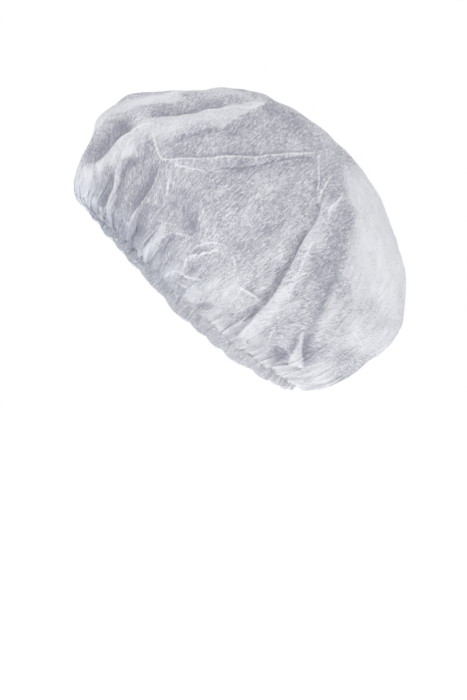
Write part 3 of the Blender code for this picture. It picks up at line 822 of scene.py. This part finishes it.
def gather(start, levels, out):
    """Lets the cloth find its own pleats. It is longer round the cap than the space it fills, so
    it buckles. It resists bending, and it is drawn softly back to the shape it started from."""
    spare = np.interp(levels, SPARE_HEIGHTS, SPARE_ROUND)[:, None]
    spare_up = np.full((len(levels) - 1, 1), SPARE_UP)
    free = np.clip(np.arange(len(levels)) / HELD_ROWS, 0, 1)[:, None, None]
    bend_up = np.interp(levels, SPARE_HEIGHTS, BEND_UP)[1:-1, None, None]
    draw = np.random.default_rng(GATHER_SEED)
    nudge = draw.normal(0, COLUMN_NUDGE, (1, start.shape[1]))
    nudge = nudge + draw.normal(0, POINT_NUDGE, start.shape[:2])
    points = start + out * nudge[..., None] * free

    links = []
    for rows, columns, share, longer in (
        (0, 1, 1.0, spare), (1, 0, 1.0, spare_up),
        (1, 1, DIAGONAL_PULL, spare[1:] / 2), (1, -1, DIAGONAL_PULL, spare[1:] / 2),
    ):
        rest = np.linalg.norm(spans(start, rows, columns), axis=2) * (1 + longer)
        links.append((rows, columns, share, rest))
    speed = np.zeros_like(points)
    for _ in range(GATHER_ROUNDS):
        push = np.zeros_like(points)
        for rows, columns, share, rest in links:
            span = spans(points, rows, columns)
            length = np.linalg.norm(span, axis=2)
            pull = span * (share * 0.5 * (1 - rest / np.maximum(length, 1e-9)))[..., None]
            if rows:
                push[:-rows] += pull
                push[rows:] -= np.roll(pull, columns, axis=1)
            else:
                push += pull
                push -= np.roll(pull, columns, axis=1)
        bend = np.roll(points, 1, axis=1) + np.roll(points, -1, axis=1) - 2 * points
        beside = np.roll(bend, 1, axis=1) + np.roll(bend, -1, axis=1)
        push += BEND_ROUND * (bend - 0.5 * beside)
        rise = np.zeros_like(points)
        rise[1:-1] = points[2:] + points[:-2] - 2 * points[1:-1]
        push[1:-1] += bend_up * (rise[1:-1] - 0.5 * (rise[2:] + rise[:-2]))
        push += HOLD * (start - points)
        speed = (speed * SPEED_KEPT + push * SPEED_GAIN) * free
        points = points + speed
        proud = ((points - start) * out).sum(axis=2, keepdims=True)
        points = points - out * np.where(proud > MOST_PROUD, EASE_BACK * (proud - MOST_PROUD), 0)
    return points


def tucked(points, smooth, out):
    """How deep each point lies between its neighbouring gathers, in metres."""
    off = ((points - smooth) * out).sum(axis=2)
    near = sum(np.roll(off, shift, axis=1) for shift in range(-TUCK_REACH, TUCK_REACH + 1))
    return near / (2 * TUCK_REACH + 1) - off


def join_rows(rows, columns):
    """Faces between rows of points that go round the cap, and the last row's first point."""
    faces = []
    for start in range(0, (rows - 1) * columns, columns):
        for i in range(columns):
            j = (i + 1) % columns
            faces.append((start + i, start + j, start + columns + j, start + columns + i))
    return faces, (rows - 1) * columns


def new_mesh_piece(name, points, faces, places, material):
    """A smooth-shaded mesh object with its place in its mesh, and each point's place on its UV
    map."""
    mesh = bpy.data.meshes.new(name)
    mesh.from_pydata(points.tolist(), [], faces)
    mesh.validate()
    mesh.shade_smooth()
    mesh.materials.append(material)
    piece = bpy.data.objects.new(name, mesh)
    bpy.context.collection.objects.link(piece)
    layer = mesh.uv_layers.new(name="cloth")
    corner = np.zeros(len(mesh.loops), np.int32)
    mesh.loops.foreach_get("vertex_index", corner)
    layer.data.foreach_set("uv", places[corner].astype(np.float32).ravel())
    return piece


def set_attribute(mesh, name, values):
    """One number at each point, for the material."""
    layer = mesh.attributes.new(name, "FLOAT", "POINT")
    layer.data.foreach_set("value", values.astype(np.float32))


def set_fold_marks(mesh, points):
    """Tone and depth of the folds at each point."""
    sheets = fold_tones(points)
    if len(sheets) > TONE_SHEETS:
        raise ValueError(f"the folds overlap on {len(sheets)} sheets, over {TONE_SHEETS}")
    for number, (tone, depth) in enumerate(sheets):
        set_attribute(mesh, f"fold_tone_{number}", tone)
        set_attribute(mesh, f"fold_depth_{number}", depth)


def set_crease_marks(mesh, points):
    """Distance to the nearest crease at each point, and its weight there."""
    far = np.full(len(points), CREASE_REACH)
    distance, weight = far.copy(), np.zeros(len(points))
    half = CREASE_REACH / 2
    for crease in CREASES:
        chosen, off, place = near_path(points, crease, CREASE_REACH)
        closer = np.abs(off) < far[chosen]
        chosen, off, place = chosen[closer], off[closer], place[closer]
        far[chosen], distance[chosen] = np.abs(off), off
        fade = ease(np.abs(points[chosen, 0]) / TONE_FADE) * (1 - ease((np.abs(off) - half) / half))
        weight[chosen] = crease.weight * ease(place / FOLD_ENDS) * fade
    set_attribute(mesh, "crease_distance", distance)
    set_attribute(mesh, "crease_weight", weight)


def set_patch_marks(mesh, points):
    """Depth inside the nearest doubled place at each point, and its weight."""
    distance, weight = np.full(len(points), NO_PATCH), np.zeros(len(points))
    for patch in PATCHES:
        here = patch_distance(points[:, 1:], patch.corners)
        here = np.where(points[:, 0] * patch.side > 0, here, NO_PATCH)
        closer = here > distance
        distance[closer], weight[closer] = here[closer], patch.weight
    set_attribute(mesh, "patch_distance", distance)
    set_attribute(mesh, "patch_weight", weight)


def make_crown(cap, material):
    """The crown: one gathered disc of cloth, with the marks that its material reads."""
    slack, smooth, levels, out = crown_grid(cap)
    grid = gather(slack, levels, out)
    peak = smooth_crown(np.array([0.0]), np.array([1.0]))
    points = np.concatenate([grid.reshape(-1, 3), peak])
    faces, last = join_rows(len(grid), cap.columns)
    top = last + cap.columns
    faces += [(last + i, last + (i + 1) % cap.columns, top) for i in range(cap.columns)]

    steps = np.linalg.norm(np.diff(slack, axis=0), axis=2).mean(axis=1)
    run = np.r_[0, np.cumsum(steps)]
    rings = CLOTH_DIAMETER / 2 * (1 - run / (run[-1] + steps[-1]))
    radius = np.concatenate([np.repeat(rings, cap.columns), [0.0]])
    turns = np.concatenate([np.tile(columns_round(cap), len(grid)), [0.0]])
    flat = np.stack([np.sin(turns) * radius, -np.cos(turns) * radius], axis=-1)
    crown = new_mesh_piece("crown_cloth", worn(points), faces, 0.5 + flat / CROWN_UV_SIDE, material)

    mesh = crown.data
    base = np.concatenate([(smooth + grid - slack).reshape(-1, 3), peak])
    set_fold_marks(mesh, base)
    set_crease_marks(mesh, base)
    set_patch_marks(mesh, base)
    set_attribute(mesh, "rim_share", np.concatenate([np.repeat(levels, cap.columns), [1.0]]))
    set_attribute(mesh, "tuck", np.concatenate([tucked(grid, smooth, out).ravel(), [0.0]]))
    return crown


def make_hem(cap, material):
    """The casing: the crown's edge turned in round the elastic and up inside it."""
    turn = columns_round(cap)
    wave = two_waves(turn, EDGE_WAVES)
    fine = two_waves(turn, HEM_WAVES) * HEM_PUCKER
    rows = []
    for inset, height, share in HEM_SECTION:
        ruffle = cap.edge_ruffle * wave * share
        pucker = fine * min(max(inset - PUCKER_START, 0) / PUCKER_RISE, 1)
        rows.append(rim_points(turn, inset - ruffle - pucker, height + PUCKER_LIFT * pucker))
    faces, _ = join_rows(len(rows), cap.columns)
    faces = [face[::-1] for face in faces]
    column = np.tile(np.arange(cap.columns) / cap.columns, len(rows))
    row = np.repeat(np.linspace(0, HEM_UV_HEIGHT, len(rows)), cap.columns)
    places = np.stack([column, row], axis=-1)
    return new_mesh_piece("hem_cloth", worn(np.concatenate(rows)), faces, places, material)


def fill(tree, made, inputs):
    """Fills a node's inputs: one that is given a socket is wired to it, any other value is set."""
    for name, value in inputs.items():
        if isinstance(value, bpy.types.NodeSocket):
            tree.links.new(value, made.inputs[name])
        else:
            made.inputs[name].default_value = value


def node(tree, kind, inputs=None, **settings):
    """A new node with its settings and inputs."""
    made = tree.nodes.new(kind)
    for name, value in settings.items():
        setattr(made, name, value)
    fill(tree, made, inputs or {})
    return made


def calc(tree, operation, first, second=0.0, third=0.0, clamp=False):
    """The result of one Math node."""
    inputs = {0: first, 1: second, 2: third}
    return node(tree, "ShaderNodeMath", inputs, operation=operation, use_clamp=clamp).outputs[0]


def times(tree, first, second):
    """first x second."""
    return calc(tree, "MULTIPLY", first, second)


def times_plus(tree, first, second, third, clamp=False):
    """first x second + third."""
    return calc(tree, "MULTIPLY_ADD", first, second, third, clamp)


def smooth_step(tree, value, low, high, start=0.0, end=1.0):
    """A soft step from start to end while value goes from low to high."""
    inputs = {"Value": value, "From Min": low, "From Max": high, "To Min": start, "To Max": end}
    return node(tree, "ShaderNodeMapRange", inputs, interpolation_type="SMOOTHSTEP").outputs[0]


def turn_pattern(tree, vector, degrees, shift=0):
    """Pattern coordinates turned about Z and moved along X."""
    inputs = {"Vector": vector, "Rotation": (0, 0, radians(degrees)), "Location": (shift, 0, 0)}
    return node(tree, "ShaderNodeMapping", inputs).outputs[0]


def attribute(tree, name):
    """The number that the mesh holds under this name."""
    return node(tree, "ShaderNodeAttribute", attribute_name=name).outputs["Fac"]


def blend_colours(tree, share, first, second):
    """A colour between two others, each a fixed colour or a socket."""
    first, second = (
        colour if isinstance(colour, bpy.types.NodeSocket) else (*colour, 1)
        for colour in (first, second))
    inputs = {0: share, 6: first, 7: second}
    return node(
        tree, "ShaderNodeMix", inputs, data_type="RGBA", clamp_factor=True).outputs[2]


def relief_normal(tree, height, strength):
    """The normal of a surface with this relief, in metres."""
    inputs = {"Strength": strength, "Distance": 1.0, "Height": height}
    return node(tree, "ShaderNodeBump", inputs).outputs[0]


def new_group(name, inputs, outputs):
    """An empty shader node group with named sockets: its tree, its inputs and its output node.
    An input's value is its default, and None makes it a vector."""
    tree = bpy.data.node_groups.new(name, "ShaderNodeTree")
    for label, value in inputs.items():
        kind = "NodeSocketVector" if value is None else "NodeSocketFloat"
        socket = tree.interface.new_socket(label, in_out="INPUT", socket_type=kind)
        if value is not None:
            socket.default_value = value
    for label in outputs:
        tree.interface.new_socket(label, in_out="OUTPUT", socket_type="NodeSocketFloat")
    return tree, tree.nodes.new("NodeGroupInput").outputs, tree.nodes.new("NodeGroupOutput")


def fibre_group():
    """Spun fibres: clouds of thick and thin cloth, streaks along the way it was spun, and a web
    of fine curled fibres."""
    tree, given, result = new_group("Spun fibres", {
        "Vector": None, "Cloud Scale": 30.0, "Streak Scale": 150.0, "Fibre Scale": 300.0,
        "Stretch": 0.4,
    }, ("Clouds", "Streaks", "Fibres"))
    stretch = node(tree, "ShaderNodeCombineXYZ", {"X": given["Stretch"], "Y": 1.0, "Z": 1.0})
    drawn = node(tree, "ShaderNodeVectorMath", {
        0: turn_pattern(tree, given["Vector"], 8), 1: stretch.outputs[0],
    }, operation="MULTIPLY").outputs[0]
    clouds = node(tree, "ShaderNodeTexNoise", {
        "Vector": drawn, "Scale": given["Cloud Scale"], "Detail": 4.0, "Distortion": 0.6})
    streaks = node(tree, "ShaderNodeTexNoise", {
        "Vector": drawn, "Scale": given["Streak Scale"], "Detail": 3.0, "Roughness": 0.6,
        "Distortion": 0.8})
    webs = []
    for angle, share in ((10, 1.0), (75, 0.7), (135, 0.85)):
        web = node(tree, "ShaderNodeTexNoise", {
            "Vector": turn_pattern(tree, drawn, angle, shift=angle),
            "Scale": given["Fibre Scale"], "Detail": 1.0, "Distortion": 1.5})
        ridge = calc(tree, "ABSOLUTE", calc(tree, "SUBTRACT", web.outputs[0], 0.5))
        webs.append(times(tree, smooth_step(tree, ridge, 0.0, 0.07, 1.0, 0.0), share))
    fibres = calc(tree, "MAXIMUM", calc(tree, "MAXIMUM", webs[0], webs[1]), webs[2])
    fill(tree, result, {
        "Clouds": clouds.outputs[0], "Streaks": streaks.outputs[0], "Fibres": fibres})
    return tree


def crease_group():
    """A pressed crease line: how bright its painted highlight shows, or with a minus how dark its
    painted shadow, and how far it stands up.
    """
    tree, given, result = new_group(
        "Crease shading and ridge", {"Distance": 0.0, "Weight": 1.0, "Half Width": 0.0008},
        ("Line", "Ridge"))
    share = calc(tree, "DIVIDE", calc(tree, "ABSOLUTE", given["Distance"]), given["Half Width"])
    line = smooth_step(tree, share, 0.2, 1.3, 1.0, 0.0)
    ridge = smooth_step(tree, share, 0.0, 3.0, 1.0, 0.0)
    fill(tree, result, {
        "Line": times(tree, line, given["Weight"]), "Ridge": times(tree, ridge, given["Weight"])})
    return tree


def new_material(name):
    """A material with an empty tree apart from its shader and output."""
    material = bpy.data.materials.new(name)
    material.use_nodes = True
    return material, material.node_tree, material.node_tree.nodes["Principled BSDF"]


def crown_material(cap, fibres, crease):
    """Sheer spun cloth: whiter where it is dense or double, with painted shade and highlights on
    its folds and creases, painted light in its tucks and on its casing, and a painted bluish shade
    over the gathers at the rim, strongest at the front."""
    material, tree, shader = new_material("nonwoven cloth")
    place = node(tree, "ShaderNodeUVMap", uv_map="cloth").outputs[0]
    web = node(tree, "ShaderNodeGroup", node_tree=fibres)
    fill(tree, web, {
        "Vector": place, "Cloud Scale": 22, "Streak Scale": 330, "Fibre Scale": 600,
        "Stretch": 0.30})
    clouds, streaks, fibre = (
        calc(tree, "SUBTRACT", web.outputs[label], 0.5)
        for label in ("Clouds", "Streaks", "Fibres"))

    # the folds' tones with their painted shade and highlights, the doubled places, and the tucks
    # between gathers, whiter partly for the doubled cloth and partly as painted light that lifts
    # their shade, added up
    tones = 0.0
    for number in range(TONE_SHEETS):
        inside = smooth_step(tree, attribute(tree, f"fold_depth_{number}"), -1.0, 0.0)
        tones = times_plus(tree, inside, attribute(tree, f"fold_tone_{number}"), tones)
    patch = smooth_step(tree, attribute(tree, "patch_distance"), -PATCH_EDGE, PATCH_EDGE)
    patch = times(tree, patch, attribute(tree, "patch_weight"))
    tones = times_plus(tree, patch, PATCH_TONE, tones)
    # tucks: painted light deep between the gathers, a little greyer on their crests
    tuck = smooth_step(tree, attribute(tree, "tuck"), -0.0006, 0.0012, -0.05, 0.16)
    tones = times_plus(tree, tones, FOLD_TONE, tuck)

    # fibres show less where the cloth is double or gathered
    rim_share = attribute(tree, "rim_share")
    gathered = smooth_step(tree, rim_share, 0.03, 0.22, 1.0, 0.0)
    bare = smooth_step(tree, tones, 0.04, 0.26, 1.0, 0.35)
    bare = times(tree, bare, times_plus(tree, gathered, -0.4, 1.0))
    mottle = times_plus(tree, fibre, FIBRE_TONE, times(tree, streaks, STREAK_TONE))
    light = times_plus(tree, times(tree, clouds, bare), CLOUD_TONE, PLAIN_LIGHT)
    light = times_plus(tree, mottle, bare, light)

    # painted light on the casing, more towards the back, lifts the shade under the crown's
    # overhang, and the streaks make the crease lines' painted highlights and shadows waver
    backward = node(tree, "ShaderNodeSeparateXYZ", {"Vector": place}).outputs["Y"]
    casing = smooth_step(tree, rim_share, 0.0, 0.06, 1.0, 0.0)
    casing = times(tree, casing, smooth_step(tree, backward, 0.40, 0.80, 0.03, 0.22))
    light = calc(tree, "ADD", calc(tree, "ADD", light, casing), tones)
    line = node(tree, "ShaderNodeGroup", node_tree=crease)
    fill(tree, line, {
        "Distance": times_plus(tree, streaks, CREASE_WAVER, attribute(tree, "crease_distance")),
        "Weight": attribute(tree, "crease_weight"), "Half Width": CREASE_HALF_WIDTH})
    # the crease lines' painted highlights and painted shadows
    light = times_plus(tree, line.outputs["Line"], CREASE_TONE, light, clamp=True)

    cloth = blend_colours(tree, light, cap.cloth_deep, cap.cloth_light)
    # painted bluish shade over the gathers at the rim, strongest at the front
    shaded_rim_colour = blend_colours(tree, light, cap.rim_shade_deep, cap.rim_shade_light)
    rim_shade_share = times(tree, gathered, smooth_step(tree, backward, 0.15, 0.62, 1.0, 0.2))
    relief = times(tree, web.outputs["Fibres"], FIBRE_RELIEF)
    relief = times_plus(tree, line.outputs["Ridge"], CREASE_RELIEF, relief)
    relief = times_plus(tree, web.outputs["Clouds"], CLOUD_RELIEF, relief)
    relief = times_plus(tree, web.outputs["Streaks"], STREAK_RELIEF, relief)
    shader.subsurface_method = "BURLEY"
    fill(tree, shader, {
        "Base Color": blend_colours(tree, rim_shade_share, cloth, shaded_rim_colour),
        "Alpha": smooth_step(tree, light, 0.0, 1.0, 0.82, 0.97),
        "Normal": relief_normal(tree, relief, 0.8),
        "Subsurface Weight": 0.6, "Subsurface Radius": (1.0, 1.0, 1.0),
        "Subsurface Scale": 0.002, "Roughness": 0.75, "Sheen Weight": 0.3,
        "Sheen Roughness": 0.5, "Specular IOR Level": 0.25})
    return material


def hem_material(cap, fibres):
    """The same cloth lying double: denser, a little bluer, with fine gathers."""
    material, tree, shader = new_material("doubled cloth")
    web = node(tree, "ShaderNodeGroup", node_tree=fibres)
    fill(tree, web, {
        "Vector": node(tree, "ShaderNodeTexCoord").outputs["Object"],
        "Cloud Scale": 60, "Streak Scale": 250, "Fibre Scale": 430, "Stretch": 1.0})
    light = times_plus(tree, web.outputs["Clouds"], 0.8, 0.15)
    light = times_plus(tree, web.outputs["Fibres"], 0.2, light, clamp=True)
    fill(tree, shader, {
        "Base Color": blend_colours(tree, light, cap.hem_deep, cap.hem_light),
        "Normal": relief_normal(tree, times(tree, web.outputs["Fibres"], HEM_RELIEF), 0.8),
        "Roughness": 0.75, "Sheen Weight": 0.25, "Sheen Roughness": 0.5,
        "Specular IOR Level": 0.25})
    return material


def elastic_material(cap):
    """Knitted elastic: fine ribs across the band, drawn by its height and its way round."""
    material, tree, shader = new_material("knit elastic")
    ribs = node(tree, "ShaderNodeTexWave", {
        "Vector": node(tree, "ShaderNodeTexCoord").outputs["Object"],
        "Scale": 260.0, "Distortion": 1.5, "Detail": 1.0,
    }, wave_type="BANDS", bands_direction="DIAGONAL").outputs["Fac"]
    fill(tree, shader, {
        "Base Color": blend_colours(tree, ribs, cap.elastic_deep, cap.elastic_light),
        "Normal": relief_normal(tree, times(tree, ribs, RIB_RELIEF), 0.7),
        "Roughness": 0.6})
    return material


def lay_floor(cap):
    """A pale floor that the camera sees evenly white."""
    bpy.ops.object.select_all(action="DESELECT")
    bpy.ops.mesh.primitive_plane_add(size=cap.floor_size, location=(0, 0, -cap.floor_drop))
    floor = bpy.context.object
    floor.name = "floor"
    material, tree, shader = new_material("pale floor")
    seen = node(tree, "ShaderNodeLightPath").outputs["Is Camera Ray"]
    fill(tree, shader, {
        "Base Color": (0.9, 0.9, 0.9, 1), "Roughness": 0.9, "Emission Color": (1, 1, 1, 1),
        "Emission Strength": smooth_step(tree, seen, 0.0, 1.0, 0.47, 1.0)})
    floor.data.materials.append(material)


def light_stage(scene):
    """The soft lights, and a pale world that the camera sees white."""
    for name, place, size, power in LIGHTS:
        lamp = bpy.data.lights.new(name, "AREA")
        lamp.size, lamp.energy = size, power
        light = bpy.data.objects.new(name, lamp)
        scene.collection.objects.link(light)
        light.location = place
        light.rotation_euler = light.location.to_track_quat("Z", "Y").to_euler()
    world = bpy.data.worlds.new("studio")
    scene.world = world
    world.use_nodes = True
    sky = world.node_tree
    ambient = sky.nodes["Background"]
    fill(sky, ambient, {"Color": (0.93, 0.95, 1.0, 1), "Strength": 0.60})
    seen = node(sky, "ShaderNodeBackground", {"Color": (1, 1, 1, 1), "Strength": 1.0})
    camera_ray = node(sky, "ShaderNodeLightPath").outputs["Is Camera Ray"]
    mix = node(sky, "ShaderNodeMixShader", {
        0: camera_ray, 1: ambient.outputs[0], 2: seen.outputs[0]})
    fill(sky, sky.nodes["World Output"], {0: mix.outputs[0]})
    scene.view_settings.view_transform = "Standard"


def point_camera(cap, scene):
    """The camera, level with the cap and square to its left side."""
    bpy.ops.object.select_all(action="DESELECT")
    bpy.ops.object.camera_add(
        location=(cap.camera_distance, *PICTURE_MIDDLE), rotation=(radians(90), 0, radians(90)))
    camera = bpy.context.object
    camera.data.sensor_fit = "VERTICAL"
    camera.data.sensor_height = SENSOR_HEIGHT
    camera.data.lens = SENSOR_HEIGHT * cap.camera_distance / cap.view_height
    scene.camera = camera


class CAP_OT_crown(Operator):
    """Make the crown's gathered cloth and its material"""

    bl_idname = "cap.crown"
    bl_label = "Make Crown"

    def execute(self, context):
        cap = context.scene.bouffant_cap
        fibres = bpy.data.node_groups.get("Spun fibres") or fibre_group()
        crown = make_crown(cap, crown_material(cap, fibres, crease_group()))
        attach(crown, "root")
        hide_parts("crown")
        return {"FINISHED"}


class CAP_OT_hem(Operator):
    bl_idname = "cap.hem"
    bl_label = "Make Hem"

    def execute(self, context):
        cap = context.scene.bouffant_cap
        fibres = bpy.data.node_groups.get("Spun fibres") or fibre_group()
        hem = make_hem(cap, hem_material(cap, fibres))
        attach(hem, "root")
        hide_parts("hem")
        return {"FINISHED"}


class CAP_OT_elastic(Operator):
    """Finish the elastic band that the casing hides"""

    bl_idname = "cap.elastic"
    bl_label = "Finish Elastic"

    def execute(self, context):
        band = bpy.data.objects["elastic_band"]
        band.data.materials.clear()
        band.data.materials.append(elastic_material(context.scene.bouffant_cap))
        return {"FINISHED"}


class CAP_OT_stage(Operator):
    """Lay the floor, light it and point the camera"""

    bl_idname = "cap.stage"
    bl_label = "Set Stage"

    def execute(self, context):
        cap = context.scene.bouffant_cap
        lay_floor(cap)
        light_stage(context.scene)
        point_camera(cap, context.scene)
        return {"FINISHED"}


class CAP_PT_panel(Panel):
    """Buttons and settings for the cap"""

    bl_label = "Bouffant Cap"
    bl_idname = "CAP_PT_panel"
    bl_space_type = "VIEW_3D"
    bl_region_type = "UI"
    bl_category = "Bouffant Cap"

    def draw(self, context):
        for operator in OPERATORS:
            self.layout.operator(operator.bl_idname)
        for name in CapSettings.__annotations__:
            self.layout.prop(context.scene.bouffant_cap, name)


OPERATORS = (CAP_OT_crown, CAP_OT_hem, CAP_OT_elastic, CAP_OT_stage)
CLASSES = (CapSettings, *OPERATORS, CAP_PT_panel)


def register():
    for one in CLASSES:
        bpy.utils.register_class(one)
    bpy.types.Scene.bouffant_cap = PointerProperty(type=CapSettings)


def unregister():
    del bpy.types.Scene.bouffant_cap
    for one in reversed(CLASSES):
        bpy.utils.unregister_class(one)


def main():
    """Build every piece and the stage."""
    register()
    bpy.ops.cap.crown()
    bpy.ops.cap.hem()
    bpy.ops.cap.elastic()
    bpy.ops.cap.stage()


if __name__ == "__main__":
    main()
